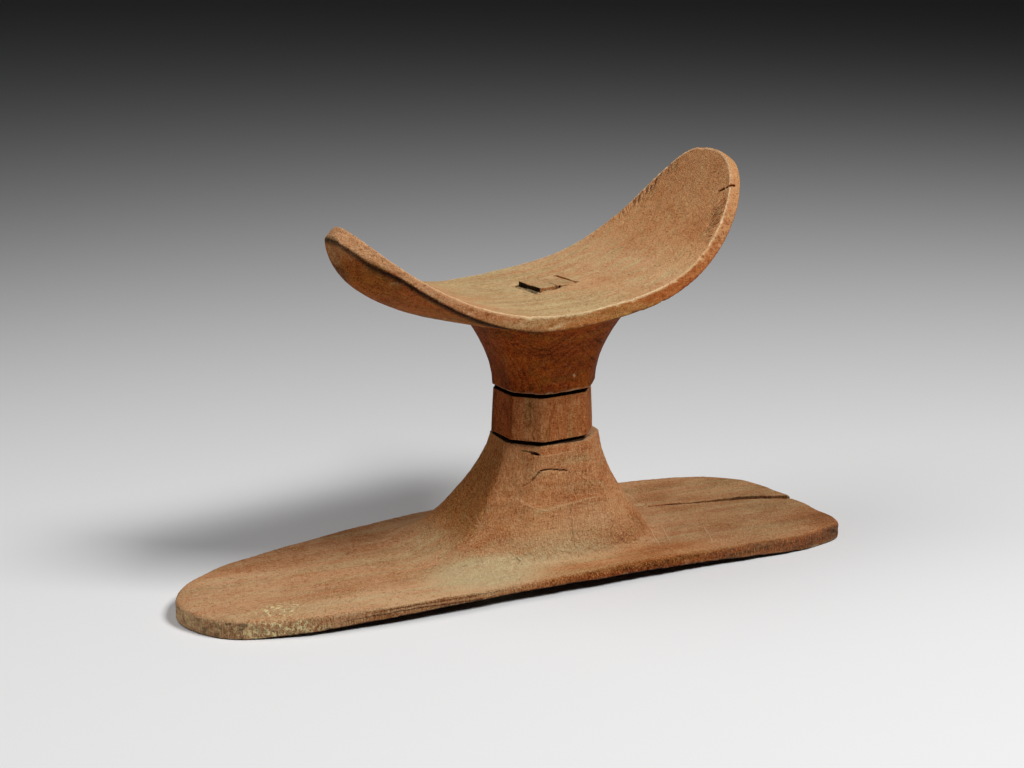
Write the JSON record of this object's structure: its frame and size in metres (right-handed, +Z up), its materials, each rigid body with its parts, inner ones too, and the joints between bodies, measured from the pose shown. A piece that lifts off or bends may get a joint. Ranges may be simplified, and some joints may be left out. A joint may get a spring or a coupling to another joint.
{
  "type": "headrest",
  "caption": "Carved wooden headrest: crescent neckrest on an octagonal stem block and a flared base plank, lined up by a loose tenon and wedge.",
  "frame": {"origin": "on the surface it stands on, under the middle of the object's bounding box", "axes": "+X along the base plank towards its blunt end and the higher horn, +Y across the plank to the back, +Z up"},
  "size_m": [0.3026, 0.103, 0.1748],
  "materials": {
    "base_wood": "hand-carved bare wood, matt, worn, with pale dusty patches",
    "block_wood": "hand-carved bare wood, matt, reddish",
    "neckrest_wood": "hand-carved bare wood, matt, rubbed lighter on the seat",
    "tenon_wood": "sawn end grain, matt",
    "wedge_wood": "split end grain, matt"
  },
  "bodies": {
    "base": {"base": "base_wood"},
    "middle_block": {"middle_block": "block_wood"},
    "neckrest": {"neckrest": "neckrest_wood"},
    "tenon": {"tenon": "tenon_wood"},
    "wedge": {"wedge": "wedge_wood"}
  },
  "joints": [
    {"name": "block_lift", "type": "slide", "parent": "base", "child": "middle_block", "axis": [0, 0, 1], "range_m": [0, 0.07]},
    {"name": "neckrest_lift", "type": "slide", "parent": "middle_block", "child": "neckrest", "axis": [0, 0, 1], "range_m": [0, 0.05]},
    {"name": "wedge_draw", "type": "slide", "parent": "neckrest", "child": "wedge", "axis": [0, 0, 1], "range_m": [0, 0.045]},
    {"name": "tenon_draw", "type": "slide", "parent": "base", "child": "tenon", "axis": [0, 0, 1], "range_m": [0, 0.1]}
  ]
}
